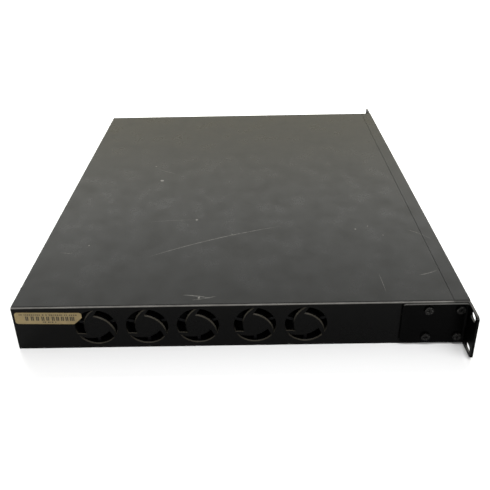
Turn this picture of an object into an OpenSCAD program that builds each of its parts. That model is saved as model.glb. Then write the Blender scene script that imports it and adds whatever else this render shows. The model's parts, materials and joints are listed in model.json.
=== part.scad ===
// Rackmount network switch, one rack unit high: wraparound cover with fan grilles, front panel with
// ports, rack ears, two circuit boards, a power supply and five side fans.
// X runs across the width, the ports face -Y, the AC inlet faces +Y and Z is up.
// The origin is under the middle of the whole switch. All lengths are millimetres.

/* [Chassis] */
// Width of the chassis without the rack ears
chassis_w = 440; // [438:1:444]
// Depth from the face of the front panel to the rear edge of the cover
chassis_d = 381; // [380:1:386]
// Height of the chassis
chassis_h = 43.6; // [43.4:0.1:44.2]
// Thickness of the cover's sheet
cover_t = 1; // [0.8:0.1:1.2]
// Thickness of the tray's and the front panel's sheet
tray_t = 1.2; // [1:0.1:1.4]
// Gap between the cover and the tray inside it
skin_gap = 0.2; // [0.1:0.05:0.3]
// Bend radius of the cover's long edges
bend_r = 2; // [1.6:0.1:2.4]
// Depth of the front panel's top, bottom and side returns
return_d = 13; // [12:0.5:15]
// Width of the seam between the front panel and the cover
seam_w = 0.4; // [0.3:0.1:0.6]
// Height of the cover's rear lip
lip_h = 9; // [8:0.5:10]
// How far the rear fittings stand out behind the cover
rear_out = 2; // [1.5:0.1:3]

/* [Rack ears] */
// Width over both ears
rack_w = 482.6; // [482:0.1:483]
// Thickness of an ear's sheet
ear_t = 2; // [1.6:0.1:2.2]
// Length of the leg along the side of the chassis
ear_leg = 56; // [54:1:60]
// Height of the ears' lower edge
ear_z = 1.3; // [1:0.1:1.5]
// Height of an ear
ear_h = 42; // [41.5:0.1:42]
// Distance between the rack slots of the two ears
slot_span = 465.1; // [464.8:0.1:465.4]
// Distance between an ear's upper and lower rack slot
slot_rise = 31.75; // [31.7:0.05:31.8]
// Width of a rack slot
slot_w = 6.8; // [6.5:0.1:7]
// Length of a rack slot from end to end
slot_l = 11; // [10:0.5:11]

/* [Fans] */
// Outside width of a fan frame
fan_size = 40; // [39.5:0.1:40]
// Depth of a fan along its axis
fan_depth = 20; // [20:1:22]
// Spacing of the fans
fan_pitch = 42.9; // [42:0.1:43.2]
// Spacing across the wider gap in the row of fans
fan_wide_pitch = 48; // [46:0.5:50]
// Distance of the rearmost fan's axis from the rear edge of the cover
first_fan = 69; // [66:0.5:72]
// Height of the fans' axes
fan_z = 22; // [21.9:0.05:22.1]
// Radius of a fan grille's openings
grille_r = 17.3; // [16.5:0.1:17.6]
// Number of blades on a rotor
blade_count = 7; // [5:1:9]
// Radius of a rotor over its blades
rotor_r = 18.2; // [17.8:0.1:18.3]

/* [Ports] */
// Number of jack columns in each port block
jack_columns = 6; // [4:1:6]
// Spacing of the jacks
jack_pitch = 14; // [13.9:0.05:14.1]
// Width of a jack's opening
jack_w = 11.9; // [11.8:0.05:12]
// Height of a jack's opening without the latch groove
jack_h = 7; // [6.9:0.05:7.2]
// Depth of a jack
jack_d = 16; // [14:0.5:18]
// Number of SFP bays
bay_count = 4; // [2:1:4]
// Width of an SFP bay
bay_w = 13.9; // [13.8:0.05:14.1]
// Height of an SFP bay
bay_h = 8.9; // [8.8:0.05:9.1]
// Travel of the mode button
button_travel = 0.8; // [0.5:0.1:0.9]

/* [Boards] */
// Height of the stand-offs under the boards
standoff_h = 5; // [4:0.5:6]
// Thickness of the circuit boards
pcb_t = 1.6; // [1.4:0.1:1.8]

/* [Hidden] */
$fn = 48;
eps = 0.5;

// Planes of the chassis
front_y = -(chassis_d + rear_out) / 2;
rear_y = front_y + chassis_d;
side_x = chassis_w / 2;
wall_y = rear_y - cover_t;
tray_x = side_x - cover_t - skin_gap;
tray_in = tray_x - tray_t;
tray_top = chassis_h - cover_t - skin_gap;
wall_top = chassis_h - bend_r;
panel_back = front_y + tray_t;
return_y = front_y + return_d;
cover_y = return_y + seam_w;
board_z = tray_t + standoff_h;
board_top = board_z + pcb_t;

// Fans
fan_in_x = tray_in - skin_gap - fan_depth;
bracket_t = 1.2;
bracket_foot = 10;
bracket_spare = 2;
lead_slot_w = 3;
lead_slot_h = 10;
lead_slot_z = fan_z + 14;
bracket_x = fan_in_x - bracket_t;
fan_bore_r = 18.8;
fan_hole = 16;
fan_offsets = [0, fan_pitch, 2 * fan_pitch, 2 * fan_pitch + fan_wide_pitch,
    3 * fan_pitch + fan_wide_pitch];
function fan_y(i) = rear_y - first_fan - fan_offsets[i];
hub_r = 11;
shaft_r = 1;
bearing_clearance = 0.05;
fan_rim_t = 3.2;
fan_corner_r = 3;
tower_r = 3;
tower_z = 6;
motor_plate_t = 2;
strut_w = 2.6;
strut_t = 2.4;
stator_r = 9.2;
stator_z = 8;
stator_h = 8;
pole_gap = 2;
pole_gap_l = 24;
pole_gap_h = 6;
rotor_w0 = 0.8;
rotor_w1 = 16.2;
strut_angles = [18, 162, 270];
blade_arc_r = 16;
blade_arc_u = 10.3;
blade_arc_w = -0.8;
blade_t = 1.1;
blade_chord = 11;
blade_l = 13;
hub_wall = 1;
hub_plate_t = 1.5;
shaft_end = 3.5;

// Swirl grille: each slot is the rim circle less a larger, offset circle, with one blunt end,
// and both edges widen outwards as pressed louvre edges do
swirl_r = 21.84;
swirl_offset = 10.52;
swirl_angle = 240.6;
blunt_angle = -33;
blunt_rim_angle = 83;
blunt_at = [grille_r * cos(blunt_rim_angle), grille_r * sin(blunt_rim_angle)];
rolled_in = 1.7;
rolled_out = 0.8;

// Intake slots in the right side
intake_w = 3;
intake_l = 13;
intake_pitch = 7.5;
intake_columns = 31;
intake_row = 8.5;
intake_y = 30;

// Windows in the tray's right wall behind the intake slots
window_w = 43;
window_h = 34;
window_r = 3;
window_pitch = 47;
window_count = 5;

// Ear and cover screws
ear_screw_ys = [8, 34.4];
ear_screw_zs = [8.7, 36.6];
leg_z = 2.6;
leg_top = 42.1;
ear_corner_r = 3;
m4_r = 1.9;
m4_head_r = 3.7;
m4_head_h = 1.6;
m3_r = 1.4;
m3_head_r = 2.8;
m3_head_h = 1.7;
short_l = 6;
long_l = 8;
hole_gap = 0.15;
lip_screw_xs = [-190, -65, 65, 190];
lip_screw_z = chassis_h - 5;
panel_screw_xs = [-180, -60, 60, 180];
panel_screw_y = front_y + 7;
panel_screw_l = 5;
tongue_lap = 4;
tongue_l = 14;
tongue_t = 1;

// Cross recesses: in a pan head as shares of its radius and height, in a flat head as lengths
cross_l = 1.2;
cross_w = 0.18;
cross_floor = 0.4;
flat_cross_l = 3.4;
flat_cross_w = 0.6;

// Front panel openings
block_w = jack_columns * jack_pitch + 1;
block_h = 25.6;
block_d = 24;
block_xs = [-75, 17];
jack_mid_z = board_top + block_h / 2;
jack_inset = 1;
latch_w = 6.2;
latch_h = 1.8;
catch_w = 3.4;
catch_h = 1.3;
jack_gap = 0.15;
shield_t = 0.4;
shield_y = front_y + 0.2;
block_y = shield_y + shield_t;
cut_gap = 0.3;
cage_t = 0.35;
cage_x = 112;
cage_w = bay_count * (bay_w + cage_t) + cage_t;
cage_h = bay_h + 2 * cage_t;
cage_d = 48.5;
cage_slot_gap = 0.4;
cage_slot_l = 9;
sfp_plug_y = 39;
sfp_plug = [12, 8, 6.4];
sfp_mouth = [10, 5, 1.4];
sfp_mouth_z = 2.6;
console_x = 168;
console_w = 15;
console_h = 13.4;
console_d = 18;
console_jack_z = board_top + 1.2;
lamp_z = chassis_h - 5.4;
lamp_r = 1;
lamp_pitch = jack_pitch / 2;
lamp_back = 30;
pipe_gap = 0.4;
pipe_step = 1;
pipe_slim = 0.2;
status_xs = [-207, -201, -195, -189, -183];
status_z = 31;
status_back = 20;
button_x = -195;
button_z = 18;
button_r = 3.2;
button_y = front_y + 0.2;
button_gap = 0.3;
cap_l = 3;
collar_l = 1.2;
collar_back = 4;
dish_d = 0.4;
dish_r1 = button_r - 1.6;
dish_r2 = button_r - 0.6;
stem_r = 1.3;
plunger_r = 1.6;
plunger_out = 1;
plunger_l = 2.2;
plunger_in = plunger_l - plunger_out + 0.4;
plunger_gap = 0.3;
switch_y = front_y + 11;
switch_w = 6;
switch_d = 4;
switch_over = 3;
vent_xs = [for (i = [0:7]) -168 + 6 * i];
vent_w = 2.6;
vent_l = 20;

// Asset label near the rear end of the left side
label_w = 56;
label_h = 11.8;
label_t = 0.2;
label_lift = 0.02;
label_back = 2.2;
label_z = chassis_h - 11.2;
label_r = 2.5;
label_cut = 9.6;
label_tilt = -1.4;

// Rear wall fittings
inlet_x = -120;
inlet_z = 21;
inlet_flange_w = 50;
inlet_flange_h = 24;
inlet_body_w = 27;
inlet_body_h = 19.6;
inlet_recess_w = 24.4;
inlet_recess_h = 16.4;
inlet_recess_d = 16;
inlet_d = 26;
inlet_screw_x = 20;
inlet_screw_l = 5;
inlet_flange_r = 3;
inlet_corner = 5;
flat_head_h = 1.5;
pin_short = 4;
pin_pitch = 7;
pin_w = 2;
pin_h = 4;
pin_drop = 2;
blank_x = 40;
blank_z = 20;
blank_w = 64;
blank_h = 20;
blank_screw_x = 28;
blank_r = 2;
blank_hole_w = 46;
blank_hole_h = 14;
blank_hole_r = 1.5;
ground_x = -180;
ground_zs = [12, 28];
ground_head_h = 2.4;

// Board outlines and fixings
main_left = -193;
main_right = 214;
main_mid_y = 6;
main_rear_y = 150;
main_step_x = -45;
main_ear_x = -213;
main_ear_y = -82;
main_front_y = front_y + tray_t + 1;
main_fixings = [[-206, -110], [-150, -165], [72, -165], [205, -165], [205, -20], [205, 140],
    [-38, 140], [-178, -8], [60, 40], [-120, -60]];
psu_x0 = -192;
psu_x1 = -60;
psu_y0 = 20;
psu_y1 = 182;
psu_fixings = [[-178, 28], [-178, 174], [-68, 28], [-68, 174]];
standoff_r = 3;
standoff_bore = 1.25;
standoff_floor = 0.6;
board_screw_l = 5;
board_hole_r = 1.7;
partition_x = -52;
partition_y = 13;
partition_t = 1;
partition_h = 38;
partition_left = -184;
partition_slots = 14;
partition_slot_y = 36;
partition_slot_z = 21;
partition_slot_l = 22;
partition_slot_w = 4;
partition_slot_pitch = 10.5;
lead_notch_z = 30;
lead_notch_w = 27;
lead_notch_h = 20;

// ---- helpers ----

module rounded_rect(w, h, r) {
    union() {
        square([w - 2 * r, h], center = true);
        square([w, h - 2 * r], center = true);
        for (x = [-1, 1], y = [-1, 1])
            translate([x * (w / 2 - r), y * (h / 2 - r)]) circle(r);
    }
}

// A slot with round ends, lying along its first axis
module slot_2d(l, w) {
    union() {
        square([l - w, w], center = true);
        for (x = [-1, 1]) translate([x * (l - w) / 2, 0]) circle(w / 2);
    }
}

// Local frames on the four walls: first axis along the wall, second up, third outwards
module on_left(x, y, z) { translate([-x, y, z]) rotate([90, 0, -90]) children(); }
module on_right(x, y, z) { translate([x, y, z]) rotate([90, 0, 90]) children(); }
module on_front(x, y, z) { translate([x, y, z]) rotate([90, 0, 0]) children(); }
module on_rear(x, y, z) { translate([x, y, z]) rotate([90, 0, 180]) children(); }

// A pan head screw along local +Z outwards: shank below zero, head above
module pan_screw(r, l, head_r, head_h) {
    difference() {
        union() {
            translate([0, 0, -l]) cylinder(r = r, h = l + eps);
            cylinder(r = head_r, h = head_h);
        }
        for (a = [0, 90]) rotate([0, 0, a])
            translate([-head_r * cross_l / 2, -head_r * cross_w / 2, head_h * cross_floor])
                cube([head_r * cross_l, head_r * cross_w, head_h]);
    }
}

// A round lead through the points of a path
module lead(path, r) {
    for (i = [0:len(path) - 2]) {
        d = path[i + 1] - path[i];
        translate(path[i]) rotate([0, acos(d[2] / norm(d)), atan2(d[1], d[0])])
            cylinder(r = r, h = norm(d), $fn = 16);
    }
    for (i = [1:len(path) - 2]) translate(path[i]) sphere(r * 1.05, $fn = 16);
}

// ---- sheet metal ----

module grille_slot(h) {
    intersection() {
        difference() {
            cylinder(r1 = grille_r, r2 = grille_r + rolled_out, h = h);
            translate([swirl_offset * cos(swirl_angle), swirl_offset * sin(swirl_angle), -eps])
                cylinder(r1 = swirl_r + rolled_in * eps / h,
                    r2 = swirl_r - rolled_in * (1 + eps / h), h = h + 2 * eps);
        }
        translate(blunt_at) rotate(blunt_angle) translate([0, -2 * grille_r])
            linear_extrude(h) square([2 * grille_r, 3 * grille_r]);
    }
}

module grille_slots(h) {
    for (a = [0, 120, 240]) rotate([0, 0, a]) grille_slot(h);
}

module cover_section_2d(inset, r) {
    intersection() {
        translate([0, (chassis_h - inset) / 2 - r])
            rounded_rect(chassis_w - 2 * inset, chassis_h - inset + 2 * r, r);
        translate([-side_x, 0]) square([chassis_w, chassis_h]);
    }
}

module intake_slots(h) {
    for (i = [0:intake_columns - 1], row = [-1, 1])
        translate([intake_pitch * (i - (intake_columns - 1) / 2), row * intake_row])
            linear_extrude(h) rotate(90) slot_2d(intake_l, intake_w);
}

module ear_screw_holes(r) {
    for (s = [-1, 1], y = ear_screw_ys, z = ear_screw_zs)
        translate([s * side_x, front_y + y, z]) rotate([0, 90, 0])
            cylinder(r = r, h = 12, center = true);
}

module top_cover() {
    color([0.09, 0.09, 0.09])
        difference() {
            union() {
                translate([0, rear_y, 0]) rotate([90, 0, 0])
                    linear_extrude(rear_y - cover_y) difference() {
                        cover_section_2d(0, bend_r);
                        cover_section_2d(cover_t, bend_r - cover_t);
                    }
                translate([-side_x + bend_r, wall_y, chassis_h - lip_h])
                    cube([chassis_w - 2 * bend_r, cover_t, lip_h - cover_t / 2]);
            }
            for (i = [0:4]) on_left(side_x - cover_t - eps, fan_y(i), fan_z)
                grille_slots(cover_t + 2 * eps);
            on_right(side_x - cover_t - eps, intake_y, fan_z)
                intake_slots(cover_t + 2 * eps);
            ear_screw_holes(m4_r + 2 * hole_gap);
            for (x = lip_screw_xs) on_rear(x, wall_y - eps, lip_screw_z)
                cylinder(r = m3_r + 2 * hole_gap, h = cover_t + 2 * eps);
        }
}

module base_tray() {
    color([0.55, 0.56, 0.58])
        difference() {
            union() {
                translate([-tray_x, panel_back, 0])
                    cube([2 * tray_x, wall_y - panel_back, tray_t]);
                translate([-tray_x, wall_y - tray_t, 0]) cube([2 * tray_x, tray_t, wall_top]);
                for (x = [-tray_x, tray_in]) translate([x, panel_back, 0])
                    cube([tray_t, wall_y - panel_back, wall_top]);
            }
            for (i = [0:4]) on_left(tray_in - eps, fan_y(i), fan_z)
                cylinder(r = fan_bore_r - 0.3, h = tray_t + 2 * eps);
            for (i = [0:window_count - 1])
                on_right(tray_in - eps, intake_y + window_pitch * (i - (window_count - 1) / 2), fan_z)
                    linear_extrude(tray_t + 2 * eps) rounded_rect(window_w, window_h, window_r);
            ear_screw_holes(m4_r + hole_gap);
            for (x = lip_screw_xs) on_rear(x, wall_y - tray_t - eps, lip_screw_z)
                cylinder(r = m3_r + hole_gap, h = tray_t + 2 * eps);
            for (x = panel_screw_xs) translate([x, panel_screw_y, 0]) {
                cylinder(r1 = m3_head_r + hole_gap, r2 = m3_r + hole_gap, h = tray_t);
                translate([0, 0, -eps]) cylinder(r = m3_r + hole_gap, h = tray_t + 2 * eps);
            }
            on_rear(inlet_x, wall_y - tray_t - eps, inlet_z) {
                linear_extrude(tray_t + 2 * eps) square([inlet_body_w + 2 * cut_gap,
                    inlet_body_h + 2 * cut_gap], center = true);
                for (s = [-1, 1]) translate([s * inlet_screw_x, 0, 0])
                    cylinder(r = m3_r + hole_gap, h = tray_t + 2 * eps);
            }
            on_rear(blank_x, wall_y - tray_t - eps, blank_z) {
                linear_extrude(tray_t + 2 * eps) rounded_rect(blank_hole_w, blank_hole_h, blank_hole_r);
                for (s = [-1, 1]) translate([s * blank_screw_x, 0, 0])
                    cylinder(r = m3_r + hole_gap, h = tray_t + 2 * eps);
            }
            for (z = ground_zs) on_rear(ground_x, wall_y - tray_t - eps, z)
                cylinder(r = m4_r + hole_gap, h = tray_t + 2 * eps);
        }
}

module front_panel() {
    inner_w = 2 * tray_in - 2 * skin_gap;
    color([0.08, 0.08, 0.08])
        difference() {
            union() {
                translate([0, panel_back, 0]) rotate([90, 0, 0])
                    linear_extrude(tray_t) cover_section_2d(0, bend_r);
                translate([0, return_y, 0]) rotate([90, 0, 0]) linear_extrude(return_d)
                    difference() {
                        cover_section_2d(0, bend_r);
                        cover_section_2d(tray_t, bend_r - tray_t);
                    }
                translate([-inner_w / 2, front_y, tray_t]) cube([inner_w, return_d, tray_t]);
                translate([-inner_w / 2, return_y - tongue_lap, tray_top - tongue_t])
                    cube([inner_w, tongue_l, tongue_t]);
            }
            for (x = block_xs) translate([x - block_w / 2 - shield_t - cut_gap, front_y - eps,
                board_top - cut_gap])
                cube([block_w + 2 * shield_t + 2 * cut_gap, tray_t + 2 * eps,
                    block_h + shield_t + 2 * cut_gap]);
            translate([cage_x - cage_w / 2 - cut_gap, front_y - eps, board_top - cut_gap])
                cube([cage_w + 2 * cut_gap, tray_t + 2 * eps, cage_h + 2 * cut_gap]);
            translate([console_x - console_w / 2 - cut_gap, front_y - eps, board_top - cut_gap])
                cube([console_w + 2 * cut_gap, tray_t + 2 * eps, console_h + 2 * cut_gap]);
            for (x = block_xs, i = [0:2 * jack_columns - 1])
                on_front(x + lamp_pitch * (i - jack_columns + 0.5), panel_back + eps, lamp_z)
                    cylinder(r = lamp_r + hole_gap, h = tray_t + 2 * eps);
            for (x = status_xs) on_front(x, panel_back + eps, status_z)
                cylinder(r = lamp_r + hole_gap, h = tray_t + 2 * eps);
            on_front(button_x, panel_back + eps, button_z)
                cylinder(r = button_r + button_gap, h = tray_t + 2 * eps);
            for (x = vent_xs) on_front(x, panel_back + eps, chassis_h / 2)
                linear_extrude(tray_t + 2 * eps) rotate(90) slot_2d(vent_l, vent_w);
            for (x = panel_screw_xs) translate([x, panel_screw_y, tray_t / 2])
                cylinder(r = m3_r + hole_gap, h = 2 * tray_t);
            ear_screw_holes(m4_r + 2 * hole_gap);
        }
}

module panel_screws() {
    color([0.2, 0.2, 0.2])
        for (x = panel_screw_xs) translate([x, panel_screw_y, 0]) difference() {
            union() {
                cylinder(r1 = m3_head_r, r2 = m3_r, h = tray_t);
                cylinder(r = m3_r, h = panel_screw_l);
            }
            for (a = [0, 90]) rotate([0, 0, a])
                translate([-flat_cross_l / 2, -flat_cross_w / 2, -eps])
                    cube([flat_cross_l, flat_cross_w, flat_cross_w + eps]);
        }
}

// ---- rack ears ----

// Plan of the left ear: leg along the side, flange outwards, rounded outside bend
module ear_plan_2d() {
    flange_w = rack_w / 2 - side_x;
    difference() {
        union() {
            translate([-ear_t, 0]) square([ear_t, ear_leg]);
            translate([-flange_w, 0]) square([flange_w, ear_t]);
            translate([-2 * ear_t, 0]) difference() {
                square(2 * ear_t);
                translate([0, 2 * ear_t]) circle(ear_t);
            }
        }
        difference() {
            translate([-ear_t, -eps]) square([ear_t + eps, ear_t + eps]);
            translate([-ear_t, ear_t]) circle(ear_t);
        }
    }
}

// The leg is lower than the flange at both ends
module ear_left_body() {
    flange_w = rack_w / 2 - side_x;
    mid_z = ear_z + ear_h / 2;
    leg_mid_z = (leg_z + leg_top) / 2;
    spare = 20;
    difference() {
        intersection() {
            translate([-side_x, front_y, ear_z]) linear_extrude(ear_h) ear_plan_2d();
            union() {
                on_left(0, front_y + (ear_leg - spare) / 2, leg_mid_z)
                    linear_extrude(rack_w / 2)
                        rounded_rect(ear_leg + spare, leg_top - leg_z, ear_corner_r);
                on_front(-side_x - flange_w + spare, front_y + ear_t, mid_z)
                    linear_extrude(2 * ear_t) rounded_rect(2 * spare, ear_h, ear_corner_r);
            }
        }
        for (s = [-1, 1]) on_front(-slot_span / 2, front_y + ear_t + eps, mid_z + s * slot_rise / 2)
            linear_extrude(ear_t + 2 * eps) slot_2d(slot_l, slot_w);
        ear_screw_holes(m4_r + 2 * hole_gap);
    }
}

module rack_ear_left() { color([0.05, 0.05, 0.05]) ear_left_body(); }
module rack_ear_right() { color([0.05, 0.05, 0.05]) mirror([1, 0, 0]) ear_left_body(); }

module ear_screws(s) {
    for (y = ear_screw_ys, z = ear_screw_zs)
        translate([s * (side_x + ear_t), front_y + y, z]) rotate([0, s * 90, 0])
            pan_screw(m4_r, long_l, m4_head_r, m4_head_h);
}

module ear_screws_left() { color([0.04, 0.04, 0.04]) ear_screws(-1); }
module ear_screws_right() { color([0.04, 0.04, 0.04]) ear_screws(1); }

// ---- rear wall ----

module rear_screws() {
    color([0.2, 0.2, 0.2]) {
        for (x = lip_screw_xs) on_rear(x, rear_y, lip_screw_z)
            pan_screw(m3_r, short_l, m3_head_r, m3_head_h);
        for (s = [-1, 1]) on_rear(blank_x + s * blank_screw_x, wall_y + tray_t, blank_z)
            pan_screw(m3_r, short_l, m3_head_r, m3_head_h);
    }
}

module rear_blank_plate() {
    color([0.09, 0.09, 0.09]) on_rear(blank_x, wall_y, blank_z) difference() {
        linear_extrude(tray_t) rounded_rect(blank_w, blank_h, blank_r);
        for (s = [-1, 1]) translate([s * blank_screw_x, 0, -eps])
            cylinder(r = m3_r + 2 * hole_gap, h = tray_t + 2 * eps);
    }
}

module ground_screws() {
    color([0.7, 0.6, 0.35])
        for (z = ground_zs) on_rear(ground_x, wall_y, z)
            pan_screw(m4_r, short_l, m4_head_r, ground_head_h);
}

module asset_label() {
    color([0.72, 0.68, 0.58])
        on_left(side_x + label_lift, rear_y - label_back - label_w / 2, label_z)
            rotate([0, 0, label_tilt]) linear_extrude(label_t) difference() {
                rounded_rect(label_w, label_h, label_r);
                translate([label_w / 2, -label_h / 2]) rotate(45)
                    square(label_cut, center = true);
            }
}

// ---- ports ----

// Outline of one jack's opening, latch groove upwards, from the bottom middle of the opening
module jack_2d(grow) {
    union() {
        translate([-jack_w / 2 - grow, -grow]) square([jack_w + 2 * grow, jack_h + 2 * grow]);
        translate([-latch_w / 2 - grow, 0]) square([latch_w + 2 * grow, jack_h + latch_h + grow]);
        translate([-catch_w / 2 - grow, 0])
            square([catch_w + 2 * grow, jack_h + latch_h + catch_h + grow]);
    }
}

// Two rows of jack outlines back to back, the upper row's latches up
module jack_rows(x, grow, y, d) {
    for (i = [0:jack_columns - 1], s = [1, -1])
        translate([x + jack_pitch * (i - (jack_columns - 1) / 2), y, jack_mid_z + s * jack_inset])
            mirror([0, 0, (1 - s) / 2]) rotate([90, 0, 0]) linear_extrude(d) jack_2d(grow);
}

module port_block(x) {
    color([0.13, 0.13, 0.14]) difference() {
        translate([x - block_w / 2, block_y, board_top]) cube([block_w, block_d, block_h]);
        jack_rows(x, 0, block_y + jack_d, jack_d + eps);
    }
}

module port_shield(x) {
    color([0.72, 0.73, 0.74]) difference() {
        translate([x - block_w / 2 - shield_t, shield_y, board_top])
            cube([block_w + 2 * shield_t, block_d + 2 * shield_t, block_h + shield_t]);
        translate([x - block_w / 2, block_y, board_top - eps])
            cube([block_w, block_d, block_h + eps]);
        jack_rows(x, jack_gap, block_y + eps, shield_t + 2 * eps);
    }
}

module port_block_a() { port_block(block_xs[0]); }
module port_block_b() { port_block(block_xs[1]); }
module port_shield_a() { port_shield(block_xs[0]); }
module port_shield_b() { port_shield(block_xs[1]); }

function bay_x(i) = cage_x + (bay_w + cage_t) * (i - (bay_count - 1) / 2);

module sfp_cage() {
    color([0.78, 0.79, 0.8]) difference() {
        translate([cage_x - cage_w / 2, shield_y, board_top]) cube([cage_w, cage_d, cage_h]);
        for (i = [0:bay_count - 1]) {
            translate([bay_x(i) - bay_w / 2, shield_y - eps, board_top + cage_t])
                cube([bay_w, cage_d - cage_t + eps, bay_h]);
            translate([bay_x(i) - bay_w / 2 + cage_slot_gap, front_y + sfp_plug_y - cage_slot_gap,
                board_top - eps])
                cube([bay_w - 2 * cage_slot_gap, cage_slot_l, cage_t + 2 * eps]);
        }
    }
}

module sfp_connectors() {
    color([0.1, 0.1, 0.1]) for (i = [0:bay_count - 1])
        translate([bay_x(i) - sfp_plug[0] / 2, front_y + sfp_plug_y, board_top]) difference() {
            cube(sfp_plug);
            translate([(sfp_plug[0] - sfp_mouth[0]) / 2, -eps, sfp_mouth_z])
                cube(sfp_mouth + [0, eps, 0]);
        }
}

module console_jack() {
    color([0.16, 0.3, 0.45]) difference() {
        translate([console_x - console_w / 2, shield_y, board_top])
            cube([console_w, console_d, console_h]);
        translate([console_x, shield_y + jack_d, console_jack_z]) rotate([90, 0, 0])
            linear_extrude(jack_d + eps) jack_2d(0);
    }
}

// A light pipe: round tip in the panel, bar to the rear, leg down to its lamp on the board
module light_pipe(x, z, back) {
    bar = 2 * lamp_r - pipe_slim;
    on_front(x, panel_back + pipe_step, z) cylinder(r = lamp_r, h = tray_t + pipe_step - pipe_slim);
    translate([x - bar / 2, panel_back + pipe_gap, z - bar / 2]) cube([bar, back, bar]);
    translate([x - bar / 2, panel_back + pipe_gap + back - bar, board_top])
        cube([bar, bar, z - board_top]);
}

module port_light_pipes() {
    color([0.8, 0.85, 0.8]) for (x = block_xs, i = [0:2 * jack_columns - 1])
        light_pipe(x + lamp_pitch * (i - jack_columns + 0.5), lamp_z, lamp_back);
}

module status_light_pipes() {
    color([0.8, 0.85, 0.8]) for (x = status_xs) light_pipe(x, status_z, status_back);
}

// ---- mode button ----

module mode_button() {
    color([0.25, 0.25, 0.26]) on_front(button_x, button_y, button_z) {
        difference() {
            translate([0, 0, -cap_l]) cylinder(r = button_r, h = cap_l);
            translate([0, 0, -dish_d]) cylinder(r1 = dish_r1, r2 = dish_r2, h = dish_d + 0.01);
        }
        translate([0, 0, -collar_back]) cylinder(r = button_r + 1, h = collar_l);
        translate([0, 0, button_y - switch_y + plunger_out])
            cylinder(r = stem_r, h = switch_y - button_y - collar_back);
    }
}

module switch_plunger() {
    color([0.7, 0.7, 0.7]) on_front(button_x, switch_y - plunger_out, button_z)
        translate([0, 0, -plunger_l]) cylinder(r = plunger_r, h = plunger_l);
}

module mode_switch() {
    color([0.08, 0.08, 0.08]) difference() {
        translate([button_x - switch_w / 2, switch_y, board_top])
            cube([switch_w, switch_d, button_z + switch_over - board_top]);
        on_front(button_x, switch_y, button_z) translate([0, 0, -plunger_in - button_travel])
            cylinder(r = plunger_r + plunger_gap, h = plunger_in + button_travel + eps);
    }
}

// ---- boards ----

module board_holes(at) {
    for (p = at) translate([p[0], p[1], board_z - eps])
        cylinder(r = board_hole_r, h = pcb_t + 2 * eps);
}

module main_board() {
    color([0.05, 0.3, 0.16]) difference() {
        translate([0, 0, board_z]) linear_extrude(pcb_t) polygon([
            [main_ear_x, main_front_y], [main_right, main_front_y], [main_right, main_rear_y],
            [main_step_x, main_rear_y], [main_step_x, main_mid_y], [main_left, main_mid_y],
            [main_left, main_ear_y], [main_ear_x, main_ear_y]]);
        board_holes(main_fixings);
    }
}

module board_standoffs() {
    color([0.75, 0.72, 0.6]) for (p = concat(main_fixings, psu_fixings))
        translate([p[0], p[1], tray_t]) difference() {
            cylinder(r = standoff_r, h = standoff_h, $fn = 6);
            translate([0, 0, standoff_floor]) cylinder(r = standoff_bore, h = standoff_h);
        }
}

module board_screws() {
    color([0.7, 0.7, 0.72]) for (p = concat(main_fixings, psu_fixings))
        translate([p[0], p[1], board_top])
            pan_screw(standoff_bore - 0.05, board_screw_l, m3_head_r, m3_head_h);
}

// A chip: thin substrate edge and a raised body
chip_edge = 1;

module chip(at, w, h) {
    translate([at[0] - w / 2, at[1] - w / 2, board_top]) cube([w, w, h / 2]);
    translate([at[0] - w / 2 + chip_edge, at[1] - w / 2 + chip_edge, board_top])
        cube([w - 2 * chip_edge, w - 2 * chip_edge, h]);
}

// A finned heatsink standing on a chip
sink_base = 3;
fin_t = 1.2;

module heatsink(at, w, fins, fin_h) {
    translate([at[0] - w / 2, at[1] - w / 2, board_top + chip_h]) {
        cube([w, w, sink_base]);
        for (i = [0:fins - 1]) translate([0, i * (w - fin_t) / (fins - 1), 0])
            cube([w, fin_t, sink_base + fin_h]);
    }
}

chip_h = 2.6;
switch_at = [20, -80];
switch_chip_w = 35;
switch_sink_w = 60;
switch_sink_fins = 13;
switch_sink_h = 16;
cpu_at = [140, -60];
cpu_chip_w = 27;
cpu_sink_w = 40;
cpu_sink_fins = 9;
cpu_sink_h = 12;
phy_ats = [[-96, -130], [-40, -130], [17, -130]];
phy_w = 20;
phy_h = 1.8;

module switch_chip() { color([0.1, 0.1, 0.1]) chip(switch_at, switch_chip_w, chip_h); }
module switch_heatsink() {
    color([0.6, 0.6, 0.62]) heatsink(switch_at, switch_sink_w, switch_sink_fins, switch_sink_h);
}
module phy_chips() { color([0.1, 0.1, 0.1]) for (p = phy_ats) chip(p, phy_w, phy_h); }
module cpu_chip() { color([0.1, 0.1, 0.1]) chip(cpu_at, cpu_chip_w, chip_h); }
module cpu_heatsink() {
    color([0.6, 0.6, 0.62]) heatsink(cpu_at, cpu_sink_w, cpu_sink_fins, cpu_sink_h);
}

memory_at = [120, 20];
memory_w = 67.6;
memory_h = 28;
memory_t = 1.2;
memory_z = 2;
memory_chip = [12, 1.2, 14];
memory_chip_x = 5;
memory_chip_z = 9;
memory_chip_pitch = 15.5;
socket_end = 4;
socket_d = 7;
socket_h = 8;
socket_gap = 0.1;

module memory_module() {
    color([0.05, 0.35, 0.15])
        translate([memory_at[0] - memory_w / 2, memory_at[1] - memory_t / 2, board_top + memory_z]) {
            cube([memory_w, memory_t, memory_h]);
            for (i = [0:3], s = [-1, 1])
                translate([memory_chip_x + i * memory_chip_pitch, s * memory_t, memory_chip_z])
                    cube(memory_chip);
        }
}

module memory_socket() {
    color([0.12, 0.12, 0.12]) translate([memory_at[0], memory_at[1], board_top]) difference() {
        translate([-memory_w / 2 - socket_end, -socket_d / 2, 0])
            cube([memory_w + 2 * socket_end, socket_d, socket_h]);
        translate([-memory_w / 2 - socket_gap, -memory_t / 2 - socket_gap, memory_z - socket_gap])
            cube([memory_w + 2 * socket_gap, memory_t + 2 * socket_gap, socket_h]);
    }
}

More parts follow.
